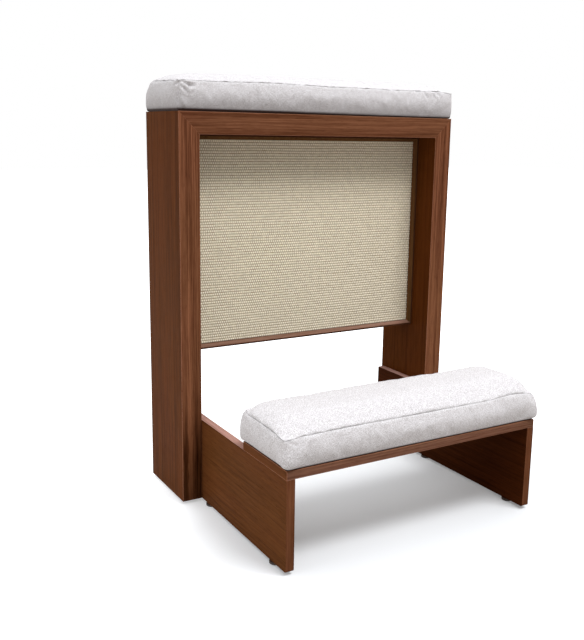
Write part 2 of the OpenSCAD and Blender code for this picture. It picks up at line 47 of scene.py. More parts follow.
# The camera stands at the front left of the kneeler, a little above the arm-rest, where
# the photograph was taken from. Its place, lens and small shift were solved from the
# straight edges of the wood.
picture_width, picture_height, sensor_width = 584, 640, 36
focal_pixels, middle_across, middle_down = 847.8, 306.39, 303.52
yaw, pitch, roll = radians(30.92), radians(-11.40), radians(1.01)
camera_data = bpy.data.cameras.new("camera")
camera_data.sensor_fit = "HORIZONTAL"
camera_data.sensor_width = sensor_width
camera_data.lens = sensor_width * focal_pixels / picture_width
camera_data.shift_x = (picture_width / 2 - middle_across) / picture_width
camera_data.shift_y = (middle_down - picture_height / 2) / picture_width
camera = bpy.data.objects.new("camera", camera_data)
ahead = Vector((sin(yaw) * cos(pitch), cos(yaw) * cos(pitch), sin(pitch)))
across = Vector((cos(yaw), -sin(yaw), 0))
above = across.cross(ahead)
camera_right = cos(roll) * across + sin(roll) * above
camera_up = cos(roll) * above - sin(roll) * across
camera.matrix_world = (Matrix.Translation((-0.9251, -1.38605, 0.7311))
                       @ Matrix((camera_right, camera_up, -ahead)).transposed().to_4x4())
bpy.context.scene.collection.objects.link(camera)
bpy.context.scene.camera = camera
bpy.context.scene.view_settings.view_transform = "Standard"


# The studio: a white floor that keeps a soft grey shadow, a white surround that lights the
# kneeler more from above and behind, a large soft light high in front, a fill on the left
# and a small low one in front.
def wire(tree, made, values):
    """Gives a node's inputs their values. A socket among the values is linked."""
    for key, value in values.items():
        if isinstance(value, bpy.types.NodeSocket):
            tree.links.new(value, made.inputs[key])
        else:
            made.inputs[key].default_value = value
    return made


def node(tree, kind, values=None, **settings):
    """A new node with its settings and the values of its inputs."""
    made = tree.nodes.new(kind)
    for key, value in settings.items():
        setattr(made, key, value)
    return wire(tree, made, values or {})


def calc(tree, operation, first, second=0.0, third=0.0):
    """A sum, a product or another calculation on one to three values."""
    return node(tree, "ShaderNodeMath", {0: first, 1: second, 2: third},
                operation=operation).outputs[0]


def ranged(tree, value, low, high, to_low=0.0, to_high=1.0):
    """A value that goes smoothly from to_low to to_high as another goes from low to high."""
    return node(tree, "ShaderNodeMapRange", {"Value": value, "From Min": low, "From Max": high,
                "To Min": to_low, "To Max": to_high}, interpolation_type="SMOOTHSTEP").outputs[0]


def white_rays(tree):
    """1 for the rays that see the background white: the camera's, glossy and transmitted."""
    rays = node(tree, "ShaderNodeLightPath").outputs
    bent = calc(tree, "ADD", rays["Is Glossy Ray"], rays["Is Transmission Ray"])
    return node(tree, "ShaderNodeMath", {0: rays["Is Camera Ray"], 1: bent}, operation="ADD",
                use_clamp=True).outputs[0]


world = bpy.data.worlds.new("studio")
world.use_nodes = True
bpy.context.scene.world = world
tree = world.node_tree
tree.nodes.clear()
overhead = node(tree, "ShaderNodeVectorMath", {
    0: node(tree, "ShaderNodeTexCoord").outputs["Generated"], 1: (0.10, 0.30, 0.95)},
    operation="DOT_PRODUCT").outputs["Value"]
dome = node(tree, "ShaderNodeMapRange", {"Value": overhead, "From Min": -0.1, "From Max": 1.0,
            "To Min": 0.04, "To Max": 1.40}).outputs[0]
surround = node(tree, "ShaderNodeBackground", {"Color": (1.0, 0.995, 0.99, 1), "Strength": dome})
white = node(tree, "ShaderNodeBackground", {"Color": (1, 1, 1, 1)})
pick = node(tree, "ShaderNodeMixShader", {0: white_rays(tree), 1: surround.outputs[0],
            2: white.outputs[0]})
node(tree, "ShaderNodeOutputWorld", {"Surface": pick.outputs[0]})


def soft_light(name, place, target, width, height, power, tint, opening=180):
    """A soft box turned to a target. Its light leaves within a cone of opening degrees."""
    data = bpy.data.lights.new(name, "AREA")
    data.spread = radians(opening)
    data.shape = "RECTANGLE"
    data.size, data.size_y, data.energy, data.color = width, height, power, tint
    lamp = bpy.data.objects.new(name, data)
    lamp.location = place
    lamp.rotation_euler = (Vector(target) - Vector(place)).to_track_quat("-Z", "Y").to_euler()
    bpy.context.scene.collection.objects.link(lamp)


soft_light("key", place=(0.80, -1.80, 3.80), target=(0, 0, 0.42), width=1.7, height=1.1,
           power=109, tint=(1.0, 0.99, 0.985))
soft_light("left_fill", place=(-2.9, -0.10, 0.5), target=(0, -0.05, 0.08), width=1.4,
           height=0.9, power=5.2, tint=(1.0, 0.99, 0.98), opening=80)
soft_light("low_front", place=(0.05, -2.6, 0.55), target=(0, -0.25, 0.18), width=1.0,
           height=0.4, power=0.42, tint=(1.0, 0.99, 0.99), opening=36)

floor_reach = 14
floor_data = bpy.data.meshes.new("floor")
floor_data.from_pydata([(floor_reach * x, floor_reach * y, 0)
                        for x, y in ((-1, -1), (1, -1), (1, 1), (-1, 1))], [], [(0, 1, 2, 3)])
floor = bpy.data.objects.new("floor", floor_data)
bpy.context.scene.collection.objects.link(floor)
floor_finish = bpy.data.materials.new("studio_floor")
floor_finish.use_nodes = True
tree = floor_finish.node_tree
tree.nodes.clear()
away = node(tree, "ShaderNodeVectorMath", {
    0: node(tree, "ShaderNodeTexCoord").outputs["Object"], 1: (0.08, -0.24, 0)},
    operation="DISTANCE").outputs["Value"]
paint = node(tree, "ShaderNodeBsdfDiffuse", {"Color": (0.71, 0.735, 0.765, 1)})
# The floor glows for the camera, faintly near the kneeler and almost white further out: painted
# light on the floor.
floor_glow = node(tree, "ShaderNodeEmission", {
    "Color": (1, 1, 1, 1), "Strength": ranged(tree, away, 0.30, 0.85, 0.17, 0.95)})
both = node(tree, "ShaderNodeAddShader", {0: paint.outputs[0], 1: floor_glow.outputs[0]})
bounce = node(tree, "ShaderNodeBsdfDiffuse", {"Color": (0.41, 0.375, 0.34, 1)})
seen = node(tree, "ShaderNodeMixShader", {0: white_rays(tree), 1: bounce.outputs[0],
            2: both.outputs[0]})
node(tree, "ShaderNodeOutputMaterial", {"Surface": seen.outputs[0]})
floor_data.materials.append(floor_finish)


# The portal: two uprights and the top rail, boards lipped and veneered in walnut, mitred
# at the top corners and dowelled across the mitre. The grain runs along each piece. The
# sides take a darker copy of the walnut as painted shade, the right upright's inner side the
# darkest, and the eased edges a paler one as a painted highlight.
def new_group(name, inputs, outputs, kind="ShaderNodeTree"):
    """A node group with its named sockets, and its own input and output nodes."""
    group = bpy.data.node_groups.new(name, kind)
    for sort, label, value in inputs:
        made = group.interface.new_socket(label, in_out="INPUT", socket_type=sort)
        if value is not None:
            made.default_value = value
    for sort, label in outputs:
        group.interface.new_socket(label, in_out="OUTPUT", socket_type=sort)
    return group, group.nodes.new("NodeGroupInput"), group.nodes.new("NodeGroupOutput")


def new_finish(name):
    """A new material, its tree and its shader."""
    finish = bpy.data.materials.new(name)
    finish.use_nodes = True
    return finish, finish.node_tree, finish.node_tree.nodes["Principled BSDF"]


def stretched(tree, place, scale, detail, **more):
    """Noise with a scale for each direction, as fibres, threads and pores have."""
    spread = node(tree, "ShaderNodeVectorMath", {0: place, 1: scale}, operation="MULTIPLY")
    return node(tree, "ShaderNodeTexNoise", {"Vector": spread.outputs[0], "Scale": 1.0,
                "Detail": detail, **more}).outputs[0]


def blended(tree, share, first, second, kind="MIX"):
    """The first colour with a share of the second mixed in, or multiplied into it."""
    return node(tree, "ShaderNodeMix", {0: share, 6: first, 7: second}, data_type="RGBA",
                blend_type=kind).outputs[2]


figure, given, result = new_group(
    "walnut_figure",
    [("NodeSocketVector", "Along X", None), ("NodeSocketColor", "Light", (0.2, 0.08, 0.04, 1)),
     ("NodeSocketColor", "Dark", (0.1, 0.035, 0.018, 1)), ("NodeSocketFloat", "Stripes", 1.0)],
    [("NodeSocketColor", "Color"), ("NodeSocketFloat", "Roughness"),
     ("NodeSocketFloat", "Height")])
along = given.outputs["Along X"]
drift = node(figure, "ShaderNodeTexNoise", {"Vector": along, "Scale": 3.2, "Detail": 1.0})
drift = node(figure, "ShaderNodeVectorMath", {0: drift.outputs["Color"], 1: (0.5, 0.5, 0.5)},
             operation="SUBTRACT")
drift = node(figure, "ShaderNodeVectorMath", {
    0: drift.outputs[0], 1: (0, 0.009, 0.009), 2: along}, operation="MULTIPLY_ADD").outputs[0]


def grain_mask(scale, detail, low, high):
    """One part of the wood's figure, from 0 where it is absent to 1 where it is full."""
    return ranged(figure, stretched(figure, drift, scale, detail, Roughness=0.55), low, high)


# The figure goes from broad bands to lines, hairs and pores. The cast is a slow change of hue.
bands = grain_mask((1.3, 70, 70), 2.0, 0.34, 0.66)
lines = grain_mask((1.6, 330, 330), 2.0, 0.38, 0.62)
hairs = grain_mask((9, 900, 900), 2.0, 0.35, 0.65)
streaks = grain_mask((2.4, 240, 240), 1.0, 0.60, 0.68)
pores = grain_mask((60, 1300, 1300), 1.0, 0.62, 0.72)
flecks = grain_mask((26, 430, 430), 2.0, 0.36, 0.64)
cast = grain_mask((2.6, 11, 11), 1.0, 0.42, 0.60)
tone = calc(figure, "MULTIPLY_ADD", bands, 0.36, calc(
    figure, "MULTIPLY_ADD", lines, 0.44, calc(figure, "MULTIPLY", hairs, 0.20)))
tone = calc(figure, "MULTIPLY_ADD", calc(figure, "SUBTRACT", tone, 0.5),
            given.outputs["Stripes"], calc(figure, "MULTIPLY_ADD", flecks, 0.26, 0.37))
wood = blended(figure, tone, given.outputs["Dark"], given.outputs["Light"])
for mask, share, shade in ((streaks, 0.45, (0.50, 0.42, 0.36, 1)),
                           (pores, 0.5, (0.42, 0.36, 0.32, 1)),
                           (cast, 0.4, (0.90, 1.0, 0.90, 1))):
    wood = blended(figure, calc(figure, "MULTIPLY", mask, share), wood, shade, "MULTIPLY")
wire(figure, result, {
    "Color": wood,
    "Roughness": calc(figure, "MULTIPLY_ADD", hairs, 0.10,
                      calc(figure, "MULTIPLY_ADD", pores, 0.2, 0.46)),
    "Height": calc(figure, "MULTIPLY_ADD", hairs, 0.25, calc(figure, "MULTIPLY", pores, -0.8))})


def walnut(name, turn, shift, light, dark, stripes=1.0, heart=None):
    """Walnut with its grain laid by turn and shift, striped between a light and a dark tone.
    Heart is the place across and the height of a darker figure at the foot of a board."""
    finish, tree, shader = new_finish(name)
    spot = node(tree, "ShaderNodeTexCoord").outputs["Object"]
    place = node(tree, "ShaderNodeMapping", {"Vector": spot, "Location": shift,
                 "Rotation": turn}).outputs[0]
    grain = node(tree, "ShaderNodeGroup", {"Along X": place, "Light": (*light, 1),
                 "Dark": (*dark, 1), "Stripes": stripes}, node_tree=figure).outputs
    colour = grain["Color"]
    # Dark bands stand on both sides of a clear strip, which sways by 5 mm as it climbs.
    if heart:
        split = node(tree, "ShaderNodeSeparateXYZ", {0: spot}).outputs
        low_part = ranged(tree, split["Z"], heart[1], heart[1] * 0.3)
        sway = node(tree, "ShaderNodeTexNoise", {"Vector": split["Z"], "Scale": 14,
                    "Detail": 1.5}).outputs["Fac"]
        sway = calc(tree, "MULTIPLY_ADD", sway, 0.010, -0.005)
        away = calc(tree, "ADD", calc(tree, "SUBTRACT", split["X"], heart[0]), sway)
        away = calc(tree, "ABSOLUTE", away)
        bands = ranged(tree, stretched(tree, place, (6, 340, 340), 2.0, Distortion=0.5),
                       0.42, 0.56)
        bands = calc(tree, "MULTIPLY_ADD", bands, 0.55, 0.45)
        bands = calc(tree, "MULTIPLY", bands, ranged(tree, away, 0.0055, 0.0095))
        bands = calc(tree, "MULTIPLY", bands, calc(tree, "MULTIPLY_ADD", low_part, 0.72, 0.20))
        colour = blended(tree, bands, colour, (0.29, 0.205, 0.135, 1), "MULTIPLY")
        colour = blended(tree, calc(tree, "MULTIPLY", low_part, 0.60), colour,
                         (0.62, 0.64, 0.45, 1), "MULTIPLY")
    bump = node(tree, "ShaderNodeBump", {"Height": grain["Height"], "Strength": 0.35,
                "Distance": 0.0003})
    wire(tree, shader, {"Base Color": colour, "Roughness": grain["Roughness"],
                        "Specular IOR Level": 0.01, "Normal": bump.outputs[0]})
    return finish


def bevelled(normal):
    """1 on a slanted face, 0 on a face that looks along an axis."""
    return int(max(abs(part) for part in normal) < 0.95)


def eased(node_name, width, finishes, choose, edge_finish=None):
    """A copy of a board from the frame with its long edges eased, as sandpaper leaves them.
    Choose gives each face its number among the finishes. Edge_finish is for the edges; left
    out, it is a paler walnut as a painted highlight."""
    # Meeting and short are lengths in metres, level and corner are angles in radians.
    meeting, level, corner, short = 2e-6, 0.004, 0.4, 0.006
    shape = bmesh.new()
    shape.from_mesh(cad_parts[node_name].data)
    bmesh.ops.remove_doubles(shape, verts=shape.verts, dist=meeting)
    bmesh.ops.dissolve_limit(shape, angle_limit=level, verts=shape.verts, edges=shape.edges)
    weight = shape.edges.layers.float.new("bevel_weight_edge")
    for edge in shape.edges:
        if edge.is_manifold and edge.calc_face_angle(0) > corner and edge.calc_length() > short:
            slanted = any(bevelled(face.normal) for face in edge.link_faces)
            edge[weight] = 0.15 if slanted else 1.0
    for face in shape.faces:
        face.material_index = choose(face.normal)
    data = bpy.data.meshes.new(node_name + "_wood")
    shape.to_mesh(data)
    shape.free()
    for finish in finishes + [edge_finish or arris_highlight]:
        data.materials.append(finish)
    piece = bpy.data.objects.new(node_name + "_wood", data)
    bpy.context.scene.collection.objects.link(piece)
    round_over = piece.modifiers.new("eased_edges", "BEVEL")
    round_over.limit_method = "WEIGHT"
    round_over.width = width
    round_over.segments = 2
    round_over.material = len(finishes)
    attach(piece, "frame")
    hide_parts(node_name)


# A face looks along an axis where that part of its normal is over this.
facing = 0.8
portal_easing = 0.0009
upright_grain, rail_grain = (0, pi / 2, 0), (0, 0, 0)
warm, warm_dark = (0.263, 0.103, 0.052), (0.108, 0.0365, 0.0165)
# A paler walnut on the eased edges: a painted highlight.
arris_highlight = walnut("walnut_arris_painted_highlight", rail_grain, (0.6, 0.1, 0.2), (0.32, 0.15, 0.098), warm, 0.6)
heart_front = walnut("heart_edge_walnut", upright_grain, (0.31, 0.17, 0.05), warm, warm_dark,
                     1.35, (-0.3005, 0.24))
upright_front = walnut("upright_edge_walnut", upright_grain, (0.31, 0.17, 0.05), warm, warm_dark,
                       1.25)
# Painted shade: darker copies of the walnut for the uprights' sides, the inner side darkest.
upright_side_shaded = walnut("upright_side_painted_shade_walnut", upright_grain, (0.9, 0.45, 0.6),
                      (0.136, 0.042, 0.0115), (0.060, 0.017, 0.0035), 0.9)
inner_side_shaded = walnut("inner_side_painted_shade_walnut", upright_grain, (0.3, 0.75, 0.2),
                    (0.132, 0.037, 0.008), (0.070, 0.018, 0.003), 0.6)
rail_front = walnut("rail_walnut", rail_grain, (0.13, 0.62, 0.27), (0.231, 0.091, 0.048),
                    (0.107, 0.036, 0.0165), 1.2)
eased("left_upright", portal_easing, [heart_front, upright_side_shaded],
      lambda normal: int(abs(normal.x) > facing))
eased("right_upright", portal_easing, [upright_front, upright_side_shaded, inner_side_shaded],
      lambda normal: 2 if normal.x < -facing else int(normal.x > facing))
eased("top_rail", portal_easing, [rail_front], lambda normal: 0)


# The panel's lipping: four mitred walnut strips round the weave. They stand out past it,
# and their inner edges are bevelled towards it. The bottom strip's bevel is painted paler,
# as lit from above, the other bevels darker and the noses darker still, as painted shade.
lipping_easing = 0.0004
# Painted shade: dark walnut for the noses. Painted light and shade: a pale and a dull walnut for
# the bevels.
nose_shade, nose_shade_dark = (0.090, 0.034, 0.018), (0.045, 0.016, 0.008)
lipping_nose_shaded = walnut("lipping_nose_painted_shade_walnut", rail_grain, (0.4, 0.1, 0.7), nose_shade, nose_shade_dark, 0.8)
tall_nose_shaded = walnut("tall_nose_painted_shade_walnut", upright_grain, (0.2, 0.8, 0.4), nose_shade, nose_shade_dark, 0.8)
bevel_lit = walnut("bevel_painted_light_walnut", rail_grain, (0.1, 0.3, 0.5), (0.30, 0.175, 0.130),
                     (0.17, 0.085, 0.055), 0.8)
bevel_shaded = walnut("bevel_painted_shade_walnut", upright_grain, (0.6, 0.8, 0.1), (0.15, 0.068, 0.024),
                    (0.075, 0.032, 0.011), 0.8)
for strip, nose, bevel in (("lipping_top", lipping_nose_shaded, bevel_shaded),
                           ("lipping_bottom", lipping_nose_shaded, bevel_lit),
                           ("lipping_left", tall_nose_shaded, bevel_shaded),
                           ("lipping_right", tall_nose_shaded, bevel_shaded)):
    eased(strip, lipping_easing, [nose, bevel], bevelled, nose)


# The knee board and its two side panels: veneered boards with lipped edges. The side
# panels' veneer runs front to back and their front edges stand upright. Their broad faces
# and the board's ends take a darker copy of the walnut, the right panel's inner face the
# darkest, as painted shade, and their top edges a pale one, as painted light.
panel_easing, board_easing = 0.0012, 0.0008
depth_grain = (0, 0, pi / 2)
# Painted shade: a darker walnut for the side panels' broad faces and the board's ends.
side_panel_shaded = walnut("side_panel_painted_shade_walnut", depth_grain, (0.7, 0.2, 0.3),
                     (0.160, 0.0565, 0.0180), (0.073, 0.0237, 0.0067), 0.45)
side_edge = walnut("side_edge_walnut", upright_grain, (0.5, 0.9, 0.1), (0.200, 0.075, 0.036),
                   (0.089, 0.030, 0.0125), 0.8)
board_face = walnut("board_walnut", rail_grain, (0.3, 0.3, 0.9), (0.244, 0.117, 0.077),
                    (0.104, 0.043, 0.025), 0.9)
# Painted light: a pale walnut for the top edges. Painted shade: a near-black one for the right
# panel's inner face.
top_edge_lit = walnut("top_edge_painted_light_walnut", depth_grain, (0.2, 0.5, 0.8), (0.48, 0.28, 0.24),
                   (0.34, 0.18, 0.138), 0.7)
inner_panel_shaded = walnut("inner_panel_painted_shade_walnut", depth_grain, (0.2, 0.6, 0.4),
                      (0.078, 0.019, 0.0045), (0.038, 0.009, 0.002), 0.7)


def panel_finish(normal):
    """2 on the top edge, painted pale as lit from above, 1 on the upright edges and their round
    corners, else 0.
    """
    return 2 if normal.z > facing else int(abs(normal.y) > 0.6)


eased("left_kneeler_side", panel_easing, [side_panel_shaded, side_edge, top_edge_lit], panel_finish)
eased("right_kneeler_side", panel_easing, [side_panel_shaded, side_edge, top_edge_lit, inner_panel_shaded],
      lambda normal: 3 if normal.x < -facing else panel_finish(normal))
eased("knee_board", board_easing, [board_face, side_panel_shaded],
      lambda normal: int(abs(normal.x) > 0.6))


# The woven panel: coarse cotton cord laid in level rows over fine uprights, so each row
# shows a line of small swellings and the next row's lie between them. One sheet covers
# each face of the panel's board.
row_pitch, knot_pitch, weave_relief = 0.00536, 0.0047, 0.0014


def knot_turns(tree, place_along, row, pitch):
    """The place along a row counted in knots. Each row starts half a knot on from the one
    below it, and its knots drift a little to either side."""
    drift = node(tree, "ShaderNodeCombineXYZ", {0: calc(tree, "MULTIPLY", place_along, 14.0),
                                                1: calc(tree, "MULTIPLY", row, 1.7)})
    drift = node(tree, "ShaderNodeTexNoise", {"Vector": drift.outputs[0], "Scale": 1.0,
                 "Detail": 0.0}).outputs[0]
    turns = calc(tree, "MULTIPLY_ADD", row, 0.5, calc(tree, "DIVIDE", place_along, pitch))
    return calc(tree, "MULTIPLY_ADD", drift, 0.8, turns)


weave_group, given, result = new_group(
    "cord_weave",
    [("NodeSocketVector", "Vector", None), ("NodeSocketFloat", "Row Pitch", row_pitch),
     ("NodeSocketFloat", "Knot Pitch", knot_pitch)],
    [("NodeSocketFloat", "Knot Tone"), ("NodeSocketFloat", "Gap"), ("NodeSocketFloat", "Fibre")])
flat = given.outputs["Vector"]
split = node(weave_group, "ShaderNodeSeparateXYZ", {0: flat}).outputs
level = calc(weave_group, "DIVIDE", split["Y"], given.outputs["Row Pitch"])
row = calc(weave_group, "FLOOR", level)
arch = calc(weave_group, "MULTIPLY", calc(weave_group, "FRACT", level), pi)
arch = calc(weave_group, "SINE", arch)
turns = knot_turns(weave_group, split["X"], row, given.outputs["Knot Pitch"])
swell = calc(weave_group, "COSINE", calc(weave_group, "MULTIPLY", turns, 2 * pi))
swell = calc(weave_group, "MULTIPLY_ADD", swell, 0.5, 0.5)
knot = calc(weave_group, "FLOOR", calc(weave_group, "ADD", turns, 0.5))
knot = node(weave_group, "ShaderNodeCombineXYZ", {0: knot, 1: row})
knot = node(weave_group, "ShaderNodeTexWhiteNoise", {0: knot.outputs[0]},
            noise_dimensions="2D").outputs["Value"]
uneven = node(weave_group, "ShaderNodeTexNoise", {"Vector": flat, "Scale": 190, "Detail": 1.0})
# The gap and the hollows are painted shade, dark between the rows and between the knots.
gap = calc(weave_group, "MULTIPLY_ADD", uneven.outputs["Fac"], 0.5,
           calc(weave_group, "SUBTRACT", arch, 0.25))
gap = calc(weave_group, "SUBTRACT", 1.0, ranged(weave_group, gap, 0.03, 0.76))
hollow_shade = calc(weave_group, "MULTIPLY", calc(weave_group, "SUBTRACT", 1.0, swell),
              calc(weave_group, "MULTIPLY_ADD", knot, 0.42, 0.42))
wire(weave_group, result, {
    "Knot Tone": knot, "Gap": calc(weave_group, "MAXIMUM", gap, hollow_shade),
    "Fibre": stretched(weave_group, flat, (260, 1500, 1), 2.0)})

cord_finish, tree, shader = new_finish("cream_cord_weave")
flat = node(tree, "ShaderNodeUVMap", uv_map="threads").outputs[0]
woven = node(tree, "ShaderNodeGroup", {"Vector": flat, "Row Pitch": row_pitch,
             "Knot Pitch": knot_pitch}, node_tree=weave_group).outputs
mottle = node(tree, "ShaderNodeTexNoise", {"Vector": flat, "Scale": 28, "Detail": 3.0})
tone = calc(tree, "MULTIPLY_ADD", woven["Fibre"], 0.35, calc(
    tree, "MULTIPLY_ADD", woven["Knot Tone"], 0.40,
    calc(tree, "MULTIPLY", mottle.outputs["Fac"], 0.25)))
cotton = blended(tree, tone, (0.93, 0.86, 0.675, 1), (0.99, 0.96, 0.835, 1))
# The painted shade between the rows and the knots darkens the cotton.
cotton = blended(tree, woven["Gap"], cotton, (0.305, 0.23, 0.14, 1), "MULTIPLY")
bump = node(tree, "ShaderNodeBump", {"Height": woven["Fibre"], "Strength": 0.5,
            "Distance": 0.0004})
wire(tree, shader, {"Base Color": cotton, "Roughness": 0.85, "Specular IOR Level": 0.2,
                    "Sheen Weight": 0.15, "Normal": bump.outputs[0]})

cords, given, result = new_group(
    "woven_cords",
    [("NodeSocketFloat", "Left", 0.0), ("NodeSocketFloat", "Bottom", 0.0),
     ("NodeSocketFloat", "Width", 0.5), ("NodeSocketFloat", "Height", 0.4),
     ("NodeSocketFloat", "Face", 0.0), ("NodeSocketFloat", "Back", 0.0),
     ("NodeSocketFloat", "Row Pitch", row_pitch), ("NodeSocketFloat", "Knot Pitch", knot_pitch),
     ("NodeSocketFloat", "Relief", weave_relief), ("NodeSocketMaterial", "Cord", None)],
    [("NodeSocketGeometry", "Sheet")], "GeometryNodeTree")
size = given.outputs
# A level grid with two columns to a knot and four steps to a row.
columns = calc(cords, "DIVIDE", calc(cords, "MULTIPLY", size["Width"], 2.0), size["Knot Pitch"])
columns = calc(cords, "ROUND", columns)
rows = calc(cords, "FLOOR", calc(cords, "DIVIDE", size["Height"], size["Row Pitch"]))
steps = calc(cords, "MULTIPLY_ADD", rows, 4.0, 1.0)
quarter_row = calc(cords, "MULTIPLY", size["Row Pitch"], 0.25)
grid = node(cords, "GeometryNodeMeshGrid", {
    "Size X": columns, "Size Y": steps, "Vertices X": calc(cords, "ADD", columns, 1.0),
    "Vertices Y": calc(cords, "ADD", steps, 1.0)})
here = node(cords, "GeometryNodeInputPosition").outputs[0]
here = node(cords, "ShaderNodeSeparateXYZ", {0: here}).outputs
column = calc(cords, "ROUND", calc(cords, "MULTIPLY_ADD", columns, 0.5, here["X"]))
climb = calc(cords, "ROUND", calc(cords, "MULTIPLY_ADD", steps, 0.5, here["Y"]))
x = calc(cords, "MULTIPLY_ADD", size["Width"], calc(cords, "DIVIDE", column, columns),
         size["Left"])
rest = calc(cords, "SUBTRACT", size["Height"], calc(cords, "MULTIPLY", steps, quarter_row))
last = calc(cords, "GREATER_THAN", climb, calc(cords, "SUBTRACT", steps, 0.5))
height = calc(cords, "MULTIPLY_ADD", climb, quarter_row, calc(cords, "MULTIPLY", last, rest))
flat = node(cords, "ShaderNodeCombineXYZ", {0: x, 1: height}).outputs[0]
sheet = node(cords, "GeometryNodeStoreNamedAttribute", {
    "Geometry": grid.outputs["Mesh"], "Name": "threads", "Value": flat},
    data_type="FLOAT2", domain="CORNER").outputs[0]
# Each row arches outwards, with its knots fuller than the cord between them.
arch = calc(cords, "MULTIPLY", calc(cords, "FLOORED_MODULO", climb, 4.0), pi / 4)
arch = calc(cords, "SINE", arch)
row = calc(cords, "FLOOR", calc(cords, "MULTIPLY", climb, 0.25))
turns = knot_turns(cords, x, row, size["Knot Pitch"])
swell = calc(cords, "COSINE", calc(cords, "MULTIPLY", turns, 2 * pi))
plump = stretched(cords, flat, (30, 90, 1), 0.0)
rise = calc(cords, "MULTIPLY", arch, calc(cords, "MULTIPLY_ADD", swell, 0.24, 0.76))
rise = calc(cords, "MULTIPLY", rise, calc(cords, "MULTIPLY_ADD", plump, 0.4, 0.7))
sink = calc(cords, "MULTIPLY", size["Relief"],
            calc(cords, "SUBTRACT", 1.0, calc(cords, "MINIMUM", rise, 1.0)))
outward = calc(cords, "SIGN", calc(cords, "SUBTRACT", size["Face"], size["Back"]))
y = calc(cords, "SUBTRACT", size["Face"], calc(cords, "MULTIPLY", outward, sink))
# The rows waver up and down by under a millimetre, except at the top and bottom edges.
lean = calc(cords, "MULTIPLY_ADD", stretched(cords, flat, (9, 14, 1), 0.0), 0.0018, -0.0009)
inside = calc(cords, "MINIMUM", height, calc(cords, "SUBTRACT", size["Height"], height))
inside = calc(cords, "MINIMUM", calc(cords, "DIVIDE", inside, 0.02), 1.0)
lean = calc(cords, "MULTIPLY", lean, inside)
z = calc(cords, "ADD", calc(cords, "ADD", size["Bottom"], height), lean)
place = node(cords, "ShaderNodeCombineXYZ", {0: x, 1: y, 2: z}).outputs[0]
sheet = node(cords, "GeometryNodeSetPosition", {"Geometry": sheet, "Position": place}).outputs[0]
sheet = node(cords, "GeometryNodeSetShadeSmooth", {0: sheet, "Shade Smooth": True}).outputs[0]
# Its rim is carried straight back to the board.
rim = node(cords, "GeometryNodeInputMeshEdgeNeighbors").outputs[0]
edge = node(cords, "GeometryNodeExtrudeMesh", {
    "Mesh": sheet, "Selection": calc(cords, "COMPARE", rim, 1.0, 0.1), "Offset Scale": 0.0},
    mode="EDGES").outputs
there = node(cords, "GeometryNodeInputPosition").outputs[0]
there = node(cords, "ShaderNodeSeparateXYZ", {0: there}).outputs
place = node(cords, "ShaderNodeCombineXYZ", {0: there["X"], 1: size["Back"], 2: there["Z"]})
sheet = node(cords, "GeometryNodeSetPosition", {
    "Geometry": edge["Mesh"], "Selection": edge["Top"], "Position": place.outputs[0]}).outputs[0]
sheet = node(cords, "GeometryNodeSetShadeSmooth", {
    0: sheet, "Selection": edge["Side"], "Shade Smooth": False}).outputs[0]
sheet = node(cords, "GeometryNodeRealizeInstances", {0: sheet}).outputs[0]
sheet = node(cords, "GeometryNodeSetMaterial", {0: sheet, "Material": size["Cord"]}).outputs[0]
cords.links.new(sheet, result.inputs["Sheet"])


def woven_sheet(node_name, outward):
    """A sheet with its woven relief modelled, from the board's face to the cords' crests."""
    low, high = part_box(node_name)
    back, face = (low[1], high[1]) if outward > 0 else (high[1], low[1])
    data = bpy.data.meshes.new(node_name + "_start")
    piece = bpy.data.objects.new(node_name + "_cords", data)
    bpy.context.scene.collection.objects.link(piece)
    weaving = piece.modifiers.new("weaving", "NODES")
    weaving.node_group = cords
    values = {"Left": low[0], "Bottom": low[2], "Width": high[0] - low[0],
              "Height": high[2] - low[2], "Face": face, "Back": back, "Row Pitch": row_pitch,
              "Knot Pitch": knot_pitch, "Relief": weave_relief, "Cord": cord_finish}
    for socket in cords.interface.items_tree:
        if socket.in_out == "INPUT":
            weaving[socket.identifier] = values[socket.name]
    ready = bpy.context.evaluated_depsgraph_get()
    woven_mesh = bpy.data.meshes.new_from_object(piece.evaluated_get(ready),
                                                 preserve_all_data_layers=True, depsgraph=ready)
    piece.modifiers.remove(weaving)
    for index in reversed(range(len(woven_mesh.materials))):
        if woven_mesh.materials[index] is None:
            woven_mesh.materials.pop(index=index)
    shape = bmesh.new()
    shape.from_mesh(woven_mesh)
    bmesh.ops.holes_fill(shape, edges=[edge for edge in shape.edges if edge.is_boundary])
    bmesh.ops.recalc_face_normals(shape, faces=shape.faces)
    shape.to_mesh(woven_mesh)
    shape.free()
    piece.data = woven_mesh
    woven_mesh.name = node_name + "_cords"
    bpy.data.meshes.remove(data)
    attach(piece, "frame")
    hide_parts(node_name)


woven_sheet("woven_front", -1)
woven_sheet("woven_back", 1)


# The pads' covers: off-white linen-look fabric over wadding, boxed. A top panel is sewn
# to a boxing strip, the seam shows as a thin dark line round the top, partly painted shade
# in its groove, and the lower edge rolls in over the wood and is turned under the plywood
# base. Painted shade darkens the cloth along the gap over the wood and on the lower boxing.
linen, tree, shader = new_finish("off_white_linen")
flat = node(tree, "ShaderNodeUVMap", uv_map="cloth").outputs[0]


def crossed(fine, coarse, detail):
    """Threads that run both ways through the cloth, each fine across and coarse along."""
    runs = [stretched(tree, flat, scale, detail)
            for scale in ((fine, coarse, 1), (coarse, fine, 1))]
    return calc(tree, "MULTIPLY_ADD", runs[0], 0.5, calc(tree, "MULTIPLY", runs[1], 0.5))


